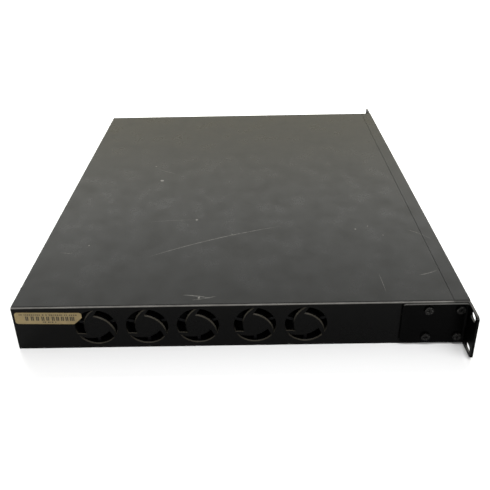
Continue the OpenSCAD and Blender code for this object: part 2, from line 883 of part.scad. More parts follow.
// ---- power supply ----

module psu_board() {
    color([0.45, 0.36, 0.12]) difference() {
        translate([psu_x0, psu_y0, board_z]) cube([psu_x1 - psu_x0, psu_y1 - psu_y0, pcb_t]);
        board_holes(psu_fixings);
    }
}

// Insulating sheet on the tray, clear of the corner stand-offs
sheet_t = 0.4;
sheet_x = 20;
sheet_y = 14;

module psu_insulator() {
    color([0.85, 0.85, 0.8]) translate([psu_x0 + sheet_x, psu_y0 + sheet_y, tray_t])
        cube([psu_x1 - psu_x0 - sheet_x - sheet_y, psu_y1 - psu_y0 - 2 * sheet_y, sheet_t]);
}

transformer_at = [-100, 80];
core = [42, 18, 30];
core_window_w = 30;
core_leg = 6;
coil_r = 13.5;
coil_h = 20;
coil_z = 5;
choke_at = [-155, 140];
choke_r = 8;
choke_section_r = 4;
choke_lift = 0.1;

module psu_magnetics() {
    color([0.22, 0.2, 0.18]) {
        translate([transformer_at[0], transformer_at[1], board_top]) {
            difference() {
                translate([-core[0] / 2, -core[1] / 2, 0]) cube(core);
                translate([-core_window_w / 2, -core[1] / 2 - eps, core_leg])
                    cube([core_window_w, core[1] + 2 * eps, core[2] - 2 * core_leg]);
            }
            translate([0, 0, coil_z]) cylinder(r = coil_r, h = coil_h);
        }
        translate([choke_at[0], choke_at[1], board_top + choke_r + choke_section_r + choke_lift])
            rotate([90, 0, 0]) rotate_extrude() translate([choke_r, 0])
                circle(choke_section_r, $fn = 24);
    }
}

bulk_caps = [[-158, 55], [-158, 82], [-158, 109]];
bulk_cap_r = 11;
bulk_cap_h = 31;
small_caps = [[-84, 120], [-84, 134], [-84, 148], [-84, 44]];
small_cap_r = 5;
small_cap_h = 20;

module psu_capacitors() {
    color([0.12, 0.14, 0.25]) {
        for (p = bulk_caps) translate([p[0], p[1], board_top])
            cylinder(r = bulk_cap_r, h = bulk_cap_h);
        for (p = small_caps) translate([p[0], p[1], board_top])
            cylinder(r = small_cap_r, h = small_cap_h);
    }
}

// A comb-shaped heatsink bar standing on the power supply board
comb_t = 3;
comb_h = 28;
comb_pitch = 9;
comb_fin = [7, 1.5, 22];
comb_fin_y = 2;

module psu_heatsink(l) {
    cube([comb_t, l, comb_h]);
    for (i = [0:floor(l / comb_pitch) - 1])
        translate([comb_t - eps, i * comb_pitch + comb_fin_y, comb_h - comb_fin[2]])
            cube(comb_fin + [eps, 0, 0]);
}

module psu_heatsinks() {
    color([0.62, 0.63, 0.65]) {
        translate([-141, 40, board_top]) psu_heatsink(84);
        translate([-96, 166, board_top]) rotate([0, 0, -90]) psu_heatsink(30);
    }
}

module psu_partition() {
    color([0.6, 0.61, 0.63]) difference() {
        translate([0, 0, tray_t]) linear_extrude(partition_h) union() {
            translate([partition_x, partition_y])
                square([partition_t, wall_y - tray_t - 1 - partition_y]);
            translate([partition_left, partition_y])
                square([partition_x - partition_left, partition_t]);
        }
        for (i = [0:partition_slots - 1])
            on_right(partition_x - eps, partition_slot_y + partition_slot_pitch * i, partition_slot_z)
                linear_extrude(partition_t + 2 * eps) rotate(90)
                    slot_2d(partition_slot_l, partition_slot_w);
        translate([dc_xs[0] - (lead_notch_w - dc_span) / 2, partition_y - eps, lead_notch_z])
            cube([lead_notch_w, partition_t + 2 * eps, lead_notch_h]);
    }
}

// ---- AC inlet ----

module ac_inlet() {
    flange_out = cover_t + rear_out;
    color([0.07, 0.07, 0.07]) on_rear(inlet_x, wall_y, inlet_z) difference() {
        union() {
            linear_extrude(flange_out)
                rounded_rect(inlet_flange_w, inlet_flange_h, inlet_flange_r);
            translate([-inlet_body_w / 2, -inlet_body_h / 2, flange_out - inlet_d])
                cube([inlet_body_w, inlet_body_h, inlet_d - flange_out / 2]);
        }
        translate([0, 0, flange_out - inlet_recess_d]) linear_extrude(inlet_recess_d + eps)
            difference() {
                square([inlet_recess_w, inlet_recess_h], center = true);
                for (s = [-1, 1]) translate([s * inlet_recess_w / 2, inlet_recess_h / 2])
                    rotate(45) square(inlet_corner, center = true);
            }
        for (x = [-pin_pitch, 0, pin_pitch])
            translate([x, x == 0 ? pin_drop : -pin_drop, flange_out - inlet_d - eps])
                linear_extrude(inlet_d) square([pin_w, pin_h], center = true);
        for (s = [-1, 1]) translate([s * inlet_screw_x, 0, 0]) {
            translate([0, 0, -eps]) cylinder(r = m3_r + hole_gap, h = flange_out + 2 * eps);
            translate([0, 0, flange_out - flat_head_h])
                cylinder(r1 = m3_r + hole_gap, r2 = m3_head_r + 2 * hole_gap, h = flat_head_h);
        }
    }
}

module inlet_pins() {
    pin_out = cover_t + rear_out - pin_short;
    color([0.8, 0.78, 0.7]) on_rear(inlet_x, wall_y, inlet_z)
        for (x = [-pin_pitch, 0, pin_pitch])
            translate([x, x == 0 ? pin_drop : -pin_drop, pin_out - inlet_d])
                linear_extrude(inlet_d) square([pin_w, pin_h], center = true);
}

module inlet_screws() {
    flange_out = cover_t + rear_out;
    color([0.2, 0.2, 0.2]) on_rear(inlet_x, wall_y, inlet_z)
        for (s = [-1, 1]) translate([s * inlet_screw_x, 0, 0]) difference() {
            union() {
                translate([0, 0, flange_out - flat_head_h])
                    cylinder(r1 = m3_r, r2 = m3_head_r, h = flat_head_h - 0.1);
                translate([0, 0, -inlet_screw_l])
                    cylinder(r = m3_r, h = inlet_screw_l + flange_out - flat_head_h + 0.1);
            }
            for (a = [0, 90]) rotate([0, 0, a])
                translate([-flat_cross_l / 2, -flat_cross_w / 2, flange_out - flat_cross_w - 0.1])
                    cube([flat_cross_l, flat_cross_w, flat_cross_w + eps]);
        }
}

module inlet_leads() {
    lug_y = wall_y - inlet_d - 1;
    bend_y = lug_y - 6;
    drop_y = lug_y - 12;
    color([0.25, 0.2, 0.12]) for (s = [-1, 0, 1]) {
        x = inlet_x + s * pin_pitch;
        z = inlet_z + (s == 0 ? pin_drop : -pin_drop);
        lead([[x, lug_y, z], [x, bend_y, z], [x, drop_y, inlet_z - 6], [x, drop_y, board_top]],
            mains_r);
    }
}

// ---- wiring ----

mains_r = 1.3;
dc_r = 1.1;
fan_lead_r = 0.8;
dc_pitch = 3;
dc_span = 5 * dc_pitch;
dc_xs = [for (i = [0:5]) -92 + dc_pitch * i];
dc_from_y = 26;
dc_to_y = -2;
dc_top = 34;
dc_bend = 3;
header_h = 8;
header_edge = 2.5;
header_d = 6;
fan_header = [5.6, 8, 6];

module dc_leads() {
    color([0.7, 0.15, 0.1]) for (x = dc_xs)
        lead([[x, dc_from_y, board_top + header_h], [x, dc_from_y, dc_top - dc_bend],
            [x, dc_from_y - dc_bend, dc_top], [x, dc_to_y + dc_bend, dc_top],
            [x, dc_to_y, dc_top - dc_bend], [x, dc_to_y, board_top + header_h]], dc_r);
}

fan_lead_u = -9.5;
fan_lead_v = 17.3;
fan_header_x = -188.5;
fan_lead_bend = 2;

module board_headers() {
    color([0.9, 0.88, 0.8]) {
        for (y = [dc_from_y, dc_to_y])
            translate([dc_xs[0] - header_edge, y - header_d / 2, board_top])
                cube([dc_span + 2 * header_edge, header_d, header_h]);
        for (i = [0:4]) translate([fan_header_x - fan_header[0] / 2,
            fan_y(i) - fan_lead_u - fan_header[1] / 2, board_top])
            cube(fan_header);
    }
}

module fan_leads() {
    color([0.15, 0.15, 0.15]) for (i = [0:4])
        lead([[-fan_in_x + 0.1, fan_y(i) - fan_lead_u, fan_z + fan_lead_v],
            [fan_header_x - fan_lead_bend, fan_y(i) - fan_lead_u, fan_z + fan_lead_v],
            [fan_header_x, fan_y(i) - fan_lead_u, fan_z + fan_lead_v - fan_lead_bend],
            [fan_header_x, fan_y(i) - fan_lead_u, board_top + fan_header[2]]], fan_lead_r);
}

// ---- fans ----

// Corner points of a fan's screw holes
module at_fan_holes() {
    for (u = [-1, 1], v = [-1, 1]) translate([u * fan_hole, v * fan_hole, 0]) children();
}

module fan_bracket() {
    y0 = fan_y(4) - fan_size / 2 - bracket_spare;
    y1 = fan_y(0) + fan_size / 2 + bracket_spare;
    color([0.6, 0.61, 0.63]) difference() {
        union() {
            translate([-fan_in_x, y0, tray_t]) cube([bracket_t, y1 - y0, tray_top - tray_t - 1]);
            translate([-fan_in_x, y0, tray_t]) cube([bracket_foot, y1 - y0, bracket_t]);
        }
        for (i = [0:4]) {
            on_left(bracket_x - eps, fan_y(i), fan_z) {
                cylinder(r = fan_bore_r - 0.4, h = bracket_t + 2 * eps);
                at_fan_holes() cylinder(r = m3_r + 2 * hole_gap, h = bracket_t + 2 * eps);
            }
            translate([-fan_in_x - eps, fan_y(i) - fan_lead_u - lead_slot_w / 2, lead_slot_z])
                cube([bracket_t + 2 * eps, lead_slot_w, lead_slot_h]);
        }
    }
}

module fan_screws() {
    color([0.2, 0.2, 0.2]) for (i = [0:4])
        translate([-bracket_x, fan_y(i), fan_z]) rotate([90, 0, 90])
            at_fan_holes() pan_screw(m3_r, long_l, m3_head_r - 0.2, m3_head_h);
}

// Local frame of fan i: axis outwards from the fan's inner face
module at_fan(i) { on_left(fan_in_x, fan_y(i), fan_z) children(); }

module fan_frame(i) {
    color([0.1, 0.1, 0.11]) at_fan(i) difference() {
        union() {
            difference() {
                union() {
                    for (w = [0, fan_depth - fan_rim_t]) translate([0, 0, w])
                        linear_extrude(fan_rim_t) rounded_rect(fan_size, fan_size, fan_corner_r);
                    cylinder(r = fan_size / 2 - 0.2, h = fan_depth);
                }
                translate([0, 0, -eps]) cylinder(r = fan_bore_r, h = fan_depth + 2 * eps);
            }
            translate([0, 0, fan_depth - motor_plate_t]) cylinder(r = hub_r, h = motor_plate_t);
            translate([0, 0, tower_z]) cylinder(r = tower_r, h = fan_depth - tower_z);
            for (a = strut_angles) rotate([0, 0, a])
                translate([hub_r - 1, -strut_w / 2, fan_depth - strut_t])
                    cube([fan_bore_r - hub_r + 1.5, strut_w, strut_t]);
        }
        translate([0, 0, tower_z - eps])
            cylinder(r = shaft_r + bearing_clearance, h = fan_depth - tower_z - 1);
        translate([0, 0, -eps]) at_fan_holes() cylinder(r = m3_r + hole_gap, h = fan_depth + 2 * eps);
    }
}

module fan_stators() {
    color([0.6, 0.35, 0.15]) for (i = [0:4]) at_fan(i) translate([0, 0, stator_z]) difference() {
        cylinder(r = stator_r, h = stator_h);
        translate([0, 0, -eps]) cylinder(r = tower_r + 0.1, h = stator_h + 2 * eps);
        for (a = [45, 135]) rotate([0, 0, a]) translate([-pole_gap_l / 2, -pole_gap / 2, -eps])
            cube([pole_gap_l, pole_gap, pole_gap_h]);
    }
}

// Curved section of a blade, across the axis and along it
module blade_2d() {
    intersection() {
        translate([blade_arc_u, blade_arc_w]) difference() {
            circle(blade_arc_r);
            circle(blade_arc_r - blade_t);
        }
        translate([-blade_chord / 2, rotor_w0 + 0.8]) square([blade_chord, blade_l]);
    }
}

module fan_rotor(i) {
    color([0.07, 0.07, 0.07]) at_fan(i) union() {
        difference() {
            translate([0, 0, rotor_w0]) cylinder(r = hub_r, h = rotor_w1 - rotor_w0);
            translate([0, 0, rotor_w0 + hub_plate_t]) cylinder(r = hub_r - hub_wall, h = rotor_w1);
        }
        translate([0, 0, rotor_w0 + 1]) cylinder(r = shaft_r, h = fan_depth - shaft_end);
        intersection() {
            for (k = [0:blade_count - 1]) rotate([0, 0, k * 360 / blade_count])
                translate([hub_r - 0.6, 0, 0]) rotate([90, 0, 90])
                    linear_extrude(rotor_r) blade_2d();
            difference() {
                cylinder(r = rotor_r, h = fan_depth);
                translate([0, 0, -eps]) cylinder(r = hub_r - 0.5, h = fan_depth + 2 * eps);
            }
        }
    }
}

base_tray();
top_cover();
front_panel();
panel_screws();
rack_ear_left();
rack_ear_right();
ear_screws_left();
ear_screws_right();
rear_screws();
rear_blank_plate();
ground_screws();
asset_label();
port_block_a();
port_block_b();
port_shield_a();
port_shield_b();
sfp_cage();
sfp_connectors();
console_jack();
port_light_pipes();
status_light_pipes();
mode_button();
switch_plunger();
mode_switch();
main_board();
board_standoffs();
board_screws();
switch_chip();
switch_heatsink();
phy_chips();
cpu_chip();
cpu_heatsink();
memory_module();
memory_socket();
psu_board();
psu_insulator();
psu_magnetics();
psu_capacitors();
psu_heatsinks();
psu_partition();
ac_inlet();
inlet_pins();
inlet_screws();
inlet_leads();
dc_leads();
board_headers();
fan_bracket();
fan_screws();
fan_leads();
fan_stators();
fan_frame(0);  // fan_frame_1
fan_frame(1);  // fan_frame_2
fan_frame(2);  // fan_frame_3
fan_frame(3);  // fan_frame_4
fan_frame(4);  // fan_frame_5
fan_rotor(0);  // fan_rotor_1
fan_rotor(1);  // fan_rotor_2
fan_rotor(2);  // fan_rotor_3
fan_rotor(3);  // fan_rotor_4
fan_rotor(4);  // fan_rotor_5
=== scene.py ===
import json
import math
import random

import bmesh
import bpy
from mathutils import Matrix, Vector


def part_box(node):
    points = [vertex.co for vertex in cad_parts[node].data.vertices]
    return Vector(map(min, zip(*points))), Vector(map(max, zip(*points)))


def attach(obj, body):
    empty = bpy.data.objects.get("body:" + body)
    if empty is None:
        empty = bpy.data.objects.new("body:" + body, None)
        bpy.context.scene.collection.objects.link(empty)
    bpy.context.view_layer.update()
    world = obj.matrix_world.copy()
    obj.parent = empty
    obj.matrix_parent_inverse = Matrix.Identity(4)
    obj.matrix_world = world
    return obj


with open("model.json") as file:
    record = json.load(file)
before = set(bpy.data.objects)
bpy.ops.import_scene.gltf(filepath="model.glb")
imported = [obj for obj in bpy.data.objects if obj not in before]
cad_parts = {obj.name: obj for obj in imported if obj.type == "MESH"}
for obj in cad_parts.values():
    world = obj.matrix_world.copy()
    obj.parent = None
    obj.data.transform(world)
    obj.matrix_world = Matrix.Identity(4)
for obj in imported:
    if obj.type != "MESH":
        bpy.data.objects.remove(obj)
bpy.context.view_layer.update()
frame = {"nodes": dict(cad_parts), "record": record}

MM = 0.001
NODES = frame["nodes"]
# The box of the painted shell: the cover, and the front panel before it
COVER = (Vector((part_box("top_cover")[0].x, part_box("front_panel")[0].y, 0.0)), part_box("top_cover")[1])


# ---------------------------------------------------------------- material building


class Shader:
    """One procedural material: a Principled shader and the textures that feed it, in object coordinates."""

    def __init__(self, name, **fixed):
        self.material = bpy.data.materials.new(name)
        self.material.use_nodes = True
        self.tree = self.material.node_tree
        self.tree.nodes.clear()
        output = self.node("ShaderNodeOutputMaterial")
        self.bsdf = self.node("ShaderNodeBsdfPrincipled")
        self.tree.links.new(self.bsdf.outputs["BSDF"], output.inputs["Surface"])
        for key, value in fixed.items():
            self.bsdf.inputs[key.replace("_", " ")].default_value = value
        self.place = self.node("ShaderNodeTexCoord").outputs["Object"]
        self.axes = None
        self.normal = None

    def node(self, kind, **properties):
        made = self.tree.nodes.new(kind)
        for key, value in properties.items():
            setattr(made, key, value)
        return made

    def feed(self, socket, value):
        """Sets a socket to a number or colour, or links it to another socket."""
        if isinstance(value, bpy.types.NodeSocket):
            self.tree.links.new(value, socket)
        elif value is not None:
            socket.default_value = value

    def maths(self, operation, a, b=None, clamp=False):
        made = self.node("ShaderNodeMath", operation=operation, use_clamp=clamp)
        for socket, value in zip(made.inputs, (a, b)):
            self.feed(socket, value)
        return made.outputs[0]

    def xyz(self):
        if self.axes is None:
            split = self.node("ShaderNodeSeparateXYZ")
            self.feed(split.inputs[0], self.place)
            self.axes = split.outputs
        return self.axes

    def turned(self, at, angle=0.0, size=(1, 1, 1)):
        """Object coordinates measured from at, turned about Z, in units of size."""
        made = self.node("ShaderNodeMapping", vector_type="TEXTURE")
        self.feed(made.inputs["Vector"], self.place)
        made.inputs["Location"].default_value = at
        made.inputs["Rotation"].default_value = (0, 0, angle)
        made.inputs["Scale"].default_value = size
        return made.outputs[0]

    def noise(self, size, detail, rough=0.5, vector=None):
        """Noise whose features are about size metres across."""
        made = self.node("ShaderNodeTexNoise")
        self.feed(made.inputs["Vector"], vector or self.place)
        made.inputs["Scale"].default_value = 1 / size
        made.inputs["Detail"].default_value = detail
        made.inputs["Roughness"].default_value = rough
        return made.outputs[0]

    def cells(self, size, output="Distance", metric="EUCLIDEAN"):
        """Cells about size metres across: the distance to their centres, or a colour for each."""
        made = self.node("ShaderNodeTexVoronoi", distance=metric)
        self.feed(made.inputs["Vector"], self.place)
        made.inputs["Scale"].default_value = 1 / size
        return made.outputs[output]

    def span(self, value, low, high, to_low=0.0, to_high=1.0):
        """value from low..high brought to to_low..to_high and held there."""
        made = self.node("ShaderNodeMapRange")
        for socket, number in zip(made.inputs, (value, low, high, to_low, to_high)):
            self.feed(socket, number)
        return made.outputs[0]

    def blend(self, share, a, b):
        """A colour between a and b."""
        made = self.node("ShaderNodeMix", data_type="RGBA")
        self.feed(made.inputs[0], share)
        for socket, value in zip((made.inputs[6], made.inputs[7]), (a, b)):
            self.feed(socket, (*value, 1) if isinstance(value, tuple) else value)
        return made.outputs[2]

    def facing(self, axis, low, high):
        """1 where the surface's own direction along an axis is above high, 0 under low."""
        split = self.node("ShaderNodeSeparateXYZ")
        self.feed(split.inputs[0], self.node("ShaderNodeNewGeometry").outputs["Normal"])
        return self.span(split.outputs["XYZ".index(axis)], low, high)

    def colour(self, value):
        self.feed(self.bsdf.inputs["Base Color"], value)

    def roughness(self, value):
        self.feed(self.bsdf.inputs["Roughness"], value)

    def metal(self, value):
        self.feed(self.bsdf.inputs["Metallic"], value)

    def bump(self, height, depth):
        """Adds relief of depth metres from a 0..1 height."""
        made = self.node("ShaderNodeBump")
        made.inputs["Strength"].default_value = 1.0
        made.inputs["Distance"].default_value = depth
        self.feed(made.inputs["Height"], height)
        if self.normal is not None:
            self.feed(made.inputs["Normal"], self.normal)
        self.normal = made.outputs[0]
        self.feed(self.bsdf.inputs["Normal"], self.normal)

    def stroke(self, start, end, bow, width):
        """A 0..1 mask of a bowed scratch in plan from start to end, thin at both ends."""
        run = end - start
        local = self.node("ShaderNodeSeparateXYZ")
        angle = math.atan2(run.y, run.x)
        length = run.length
        self.feed(local.inputs[0], self.turned((start.x, start.y, 0), angle, (length,) * 3))
        along, across = local.outputs[0], local.outputs[1]
        rise = self.maths("MULTIPLY", self.maths("MULTIPLY", along, 4.0),
                          self.maths("SUBTRACT", 1.0, along))
        off = self.maths("ABSOLUTE", self.maths("SUBTRACT", across,
                                                self.maths("MULTIPLY", rise, bow / length)))
        half = width / 2 / length
        reach = self.maths("MULTIPLY", self.maths("SQRT", self.maths("MAXIMUM", rise, 0.0)), half)
        return self.maths("DIVIDE", self.maths("SUBTRACT", reach, off), half * 0.6, clamp=True)

    def spot(self, at, radius):
        """A 0..1 mask of a small chip with a ragged rim, in plan."""
        local = self.node("ShaderNodeVectorMath", operation="LENGTH")
        flat = self.node("ShaderNodeVectorMath", operation="MULTIPLY")
        self.feed(flat.inputs[0], self.turned((at.x, at.y, 0)))
        flat.inputs[1].default_value = (1, 1, 0)
        self.feed(local.inputs[0], flat.outputs[0])
        ragged = self.maths("ADD", local.outputs["Value"],
                            self.maths("MULTIPLY", self.noise(radius, 2), radius))
        return self.span(ragged, radius * 1.5, radius * 1.2)

    def mirrored_x(self):
        return self.maths("MULTIPLY", self.maths("ABSOLUTE", self.xyz()[0]), -1.0)

    def long_edge_distance(self, low, high):
        """Distance in metres to the two upper edges that run from front to back."""
        aside = self.maths("SUBTRACT", self.mirrored_x(), low.x)
        under = self.maths("SUBTRACT", self.xyz()[2], high.z)
        return self.maths("SQRT", self.maths("ADD", self.maths("MULTIPLY", aside, aside),
                                             self.maths("MULTIPLY", under, under)))

    def edge_distance(self, low, high):
        """Distance in metres to the nearest edge line of a box and its mirror image across X."""
        gaps = []
        for axis in range(3):
            value = self.mirrored_x() if axis == 0 else self.xyz()[axis]
            to_low = self.maths("SUBTRACT", value, low[axis])
            to_high = self.maths("SUBTRACT", value, high[axis])
            near = self.maths("MINIMUM", self.maths("ABSOLUTE", to_low),
                              self.maths("ABSOLUTE", to_high))
            gaps.append(self.maths("MULTIPLY", near, near))
        pairs = [self.maths("ADD", gaps[a], gaps[b]) for a, b in ((0, 1), (0, 2), (1, 2))]
        least = self.maths("MINIMUM", self.maths("MINIMUM", pairs[0], pairs[1]), pairs[2])
        return self.maths("SQRT", least)


# ---------------------------------------------------------------- materials

# Bare steel: the colour of rubbed and worn paint, and also of the painted highlights on the long upper bends
# and the ear's ledges
BARE_STEEL_AND_HIGHLIGHT = (0.30, 0.29, 0.27)
# Dust colour: also used for the painted highlight on the fan grille rims
DUST_AND_RIM_HIGHLIGHT = (0.30, 0.27, 0.21)
DUST_ON_TOP, DUST_AND_HIGHLIGHT_ON_RIMS = 0.004, 0.12
RUBBED, RUBBED_ON_TOP = 0.002, 0.008
MARK_DEPTH, WEAR_AND_HIGHLIGHT_SHARE, WORN_ROUGHER = 0.6, 0.62, 0.15
CHIPPED_REACH, CHIPPED_FULL = 1.6 * MM, 0.3 * MM
# Reach of the lightened band along the long upper bends (worn paint and painted highlight), and its share on
# the front panel before the seam
BEND_REACH, BEND_FULL = 1.35 * MM, 0.9 * MM
SEAM_BEHIND_FRONT, WEAR_AND_HIGHLIGHT_BEFORE_SEAM = 13 * MM, 0.45
RIM_OUT, RIM_IN = 1.2 * MM, 1.6 * MM
BELOW_BEND, FURTHER_BELOW = 2.2 * MM, 2.6 * MM


def top_marks(shader, high):
    """Handling marks on the top of the cover: bowed scratches and small chips.
    Each place is given in mm in front of the cover's rear edge and in from the side without fans."""

    def at(ahead, across):
        return Vector((high.x - across * MM, high.y - ahead * MM))

    strokes = [
        ((103, 369), (232, 317), 4.5, 1.0), ((88, 178), (112, 193), -1.0, 0.6),
        ((94, 305), (144, 302), 1.0, 0.4),
        ((18, 359), (31, 361), 0.4, 0.6), ((355, 327), (375, 346), 1.5, 0.6),
        ((348, 403), (366, 396), -0.8, 0.9), ((313, 400), (314, 427), 0.3, 0.4),
        ((142, 426), (166, 431), 0.8, 1.3), ((150, 433), (171, 428), -0.6, 0.8)]
    spots = [((98, 211), 2.1), ((86, 172), 1.0), ((145, 302), 1.5), ((44, 347), 0.8), ((305, 325), 1.0),
             ((318, 320), 0.7), ((330, 337), 0.6), ((156, 430), 1.2), ((182, 331), 0.7)]
    mask = None
    for start, end, bow, width in strokes:
        one = shader.stroke(at(*start), at(*end), bow * MM, width * MM)
        mask = one if mask is None else shader.maths("MAXIMUM", mask, one)
    broken = shader.span(shader.noise(2.5 * MM, 3, 0.7), 0.36, 0.62, 0.25, 1.0)
    mask = shader.maths("MULTIPLY", mask, broken)
    for where, radius in spots:
        mask = shader.maths("MAXIMUM", mask, shader.spot(at(*where), radius * MM))
    return mask


def hairlines(shader, angle, seed):
    """A 0..1 mask of faint rubbing marks that run along one direction."""
    lines = shader.noise(1.0, 2, 0.6, shader.turned((seed, seed, seed), angle,
                                                    (0.05, 0.0012, 0.05)))
    patches = shader.noise(40 * MM, 2)
    return shader.maths("MULTIPLY", shader.span(lines, 0.64, 0.74),
                        shader.span(patches, 0.48, 0.66))


def powder_coat(name, paint, level, rough, box, marked, bend_wear_and_highlight, ledge_highlight):
    """Black powder coat: fine orange peel, a dusty top, and wear along the edges of its box. marked adds the
    marks of the cover and lightens the grille rims with dust and a painted highlight,
    bend_wear_and_highlight bares its long upper bends as worn paint and a painted highlight, and
    ledge_highlight lightens faces that look up with a painted highlight in bare steel."""
    shader = Shader(name, Specular_IOR_Level=level)
    low, high = box
    upward = shader.facing("Z", 0.6, 0.9)
    cloud = shader.noise(130 * MM, 3)
    speck = shader.noise(0.9 * MM, 2)
    smudge = shader.noise(24 * MM, 4, 0.62)
    base = shader.blend(cloud, tuple(v * 0.8 for v in paint), tuple(v * 1.25 for v in paint))
    dust = shader.maths("MULTIPLY", shader.span(shader.noise(60 * MM, 4, 0.6), 0.35, 0.75),
                        shader.span(speck, 0.45, 0.75, 0.3, 1.0))
    dust = shader.maths("MULTIPLY", dust, shader.maths("MULTIPLY", upward, DUST_ON_TOP))
    base = shader.blend(dust, base, DUST_AND_RIM_HIGHLIGHT)
    rubbed = shader.maths("MAXIMUM", hairlines(shader, 0.5, 0.0), hairlines(shader, 2.2, 0.3))
    strength = shader.maths("ADD", RUBBED, shader.maths("MULTIPLY", upward, RUBBED_ON_TOP))
    rubbed = shader.maths("MULTIPLY", rubbed, strength)
    base = shader.blend(rubbed, base, BARE_STEEL_AND_HIGHLIGHT)
    near = shader.span(shader.edge_distance(low, high), CHIPPED_REACH, CHIPPED_FULL)
    worn = shader.maths("MULTIPLY", near, shader.span(shader.noise(5 * MM, 4, 0.7), 0.6, 0.72))
    if marked:
        # The up-tilted rims of the fan grille openings by the side wall get the dust colour: partly dust,
        # partly a painted highlight where light from above falls on them.
        on_side = shader.span(shader.mirrored_x(), low.x + RIM_IN, low.x + RIM_OUT)
        tilted = shader.maths("MULTIPLY", shader.facing("Z", 0.05, 0.4), on_side)
        below_bend = shader.span(shader.xyz()[2], high.z - BELOW_BEND, high.z - FURTHER_BELOW)
        rim_dust_and_highlight = shader.maths("MULTIPLY", tilted, below_bend)
        base = shader.blend(shader.maths("MULTIPLY", rim_dust_and_highlight, DUST_AND_HIGHLIGHT_ON_RIMS), base, DUST_AND_RIM_HIGHLIGHT)
        scratched = shader.maths("MULTIPLY", top_marks(shader, high), upward)
        worn = shader.maths("MAXIMUM", worn, shader.maths("MULTIPLY", scratched, MARK_DEPTH))
    # Along the two long upper bends the coat is lightened towards bare steel: partly worn paint, partly a
    # painted highlight of the bright line these bends catch, weaker on the front panel before the seam.
    bend = shader.span(shader.long_edge_distance(low, high), BEND_REACH, BEND_FULL)
    uneven = shader.span(shader.noise(22 * MM, 4, 0.6), 0.3, 0.7, 0.55, 1.0)
    bend = shader.maths("MULTIPLY", shader.maths("MULTIPLY", bend, uneven), bend_wear_and_highlight)
    seam = low.y + SEAM_BEHIND_FRONT
    behind_seam = shader.span(shader.xyz()[1], seam - MM, seam + MM, WEAR_AND_HIGHLIGHT_BEFORE_SEAM, 1.0)
    worn = shader.maths("MAXIMUM", worn, shader.maths("MULTIPLY", bend, behind_seam))
    # On faces that look up, the coat is lightened unevenly towards bare steel: a painted highlight on the
    # ear's ledges and top edges.
    ledge = shader.maths("MULTIPLY", shader.maths("MULTIPLY", upward, uneven), ledge_highlight)
    worn = shader.maths("MAXIMUM", worn, ledge)
    # The colour: bare steel mixed in where the coat is chipped, scratched or worn, and where highlights are
    # painted on the bends and ledges
    shader.colour(shader.blend(shader.maths("MULTIPLY", worn, WEAR_AND_HIGHLIGHT_SHARE), base, BARE_STEEL_AND_HIGHLIGHT))
    finish = shader.span(smudge, 0.3, 0.7, rough - 0.05, rough + 0.06)
    shader.roughness(shader.maths("ADD", finish, shader.maths("MULTIPLY", worn, WORN_ROUGHER)))
    shader.bump(shader.noise(2.2 * MM, 1), 0.006 * MM)
    shader.bump(speck, 0.004 * MM)
    shader.bump(shader.maths("SUBTRACT", 1.0, worn), 0.03 * MM)
    return shader.material


def black_oxide(name):
    """Black screws: oily black oxide with lighter worn blotches."""
    shader = Shader(name, Metallic=1.0)
    blotch = shader.noise(1.5 * MM, 3, 0.6)
    shader.colour(shader.blend(shader.span(blotch, 0.45, 0.7), (0.006, 0.006, 0.006),
                               (0.055, 0.053, 0.05)))
    shader.roughness(shader.span(blotch, 0.3, 0.7, 0.34, 0.5))
    shader.bump(shader.noise(0.5 * MM, 2), 0.01 * MM)
    return shader.material


def zinc_sheet(name):
    """Zinc-plated sheet: grains of spangle, rolling lines and a light haze."""
    shader = Shader(name, Metallic=1.0)
    grains = shader.node("ShaderNodeSeparateColor")
    shader.feed(grains.inputs[0], shader.cells(9 * MM, "Color"))
    rolled = shader.noise(1.0, 3, 0.6, shader.turned((0, 0, 0), 0.0, (0.0009, 0.12, 0.0009)))
    haze = shader.noise(45 * MM, 4, 0.6)
    tone = shader.maths("ADD", shader.maths("MULTIPLY", rolled, 0.5),
                        shader.maths("MULTIPLY", haze, 0.5))
    tone = shader.maths("ADD", shader.maths("MULTIPLY", tone, 0.7),
                        shader.maths("MULTIPLY", grains.outputs[0], 0.3))
    shader.colour(shader.blend(tone, (0.2, 0.205, 0.218), (0.36, 0.365, 0.38)))
    shader.roughness(shader.span(haze, 0.3, 0.7, 0.3, 0.46))
    shader.bump(rolled, 0.004 * MM)
    return shader.material


def nickel(name, tint, rough):
    """Thin plated metal: small blotches and a satin finish."""
    shader = Shader(name, Metallic=1.0)
    blotch = shader.noise(4 * MM, 3, 0.6)
    shader.colour(shader.blend(blotch, tuple(v * 0.86 for v in tint), tint))
    shader.roughness(shader.span(blotch, 0.3, 0.7, rough - 0.06, rough + 0.08))
    shader.bump(shader.noise(0.8 * MM, 2), 0.003 * MM)
    return shader.material


def moulded(name, tint, rough, grain=0.35, level=0.4):
    """Moulded plastic: fine spark-eroded grain and slight flow marks."""
    shader = Shader(name, Specular_IOR_Level=level)
    flow = shader.noise(16 * MM, 3, 0.6)
    pits = shader.noise(grain * MM, 2, 0.6)
    shader.colour(shader.blend(flow, tuple(v * 0.82 for v in tint),
                               tuple(min(1.0, v * 1.12) for v in tint)))
    shader.roughness(shader.span(pits, 0.3, 0.7, rough - 0.07, rough + 0.07))
    shader.bump(pits, 0.012 * MM)
    shader.bump(flow, 0.02 * MM)
    return shader.material


def light_pipe(name):
    """Clear moulded acrylic, slightly milky."""
    shader = Shader(name, Transmission_Weight=0.55, IOR=1.49)
    haze = shader.noise(3 * MM, 3)
    shader.colour(shader.blend(haze, (0.4, 0.44, 0.42), (0.52, 0.56, 0.54)))
    shader.roughness(shader.span(haze, 0.3, 0.7, 0.16, 0.3))
    shader.bump(haze, 0.01 * MM)
    return shader.material


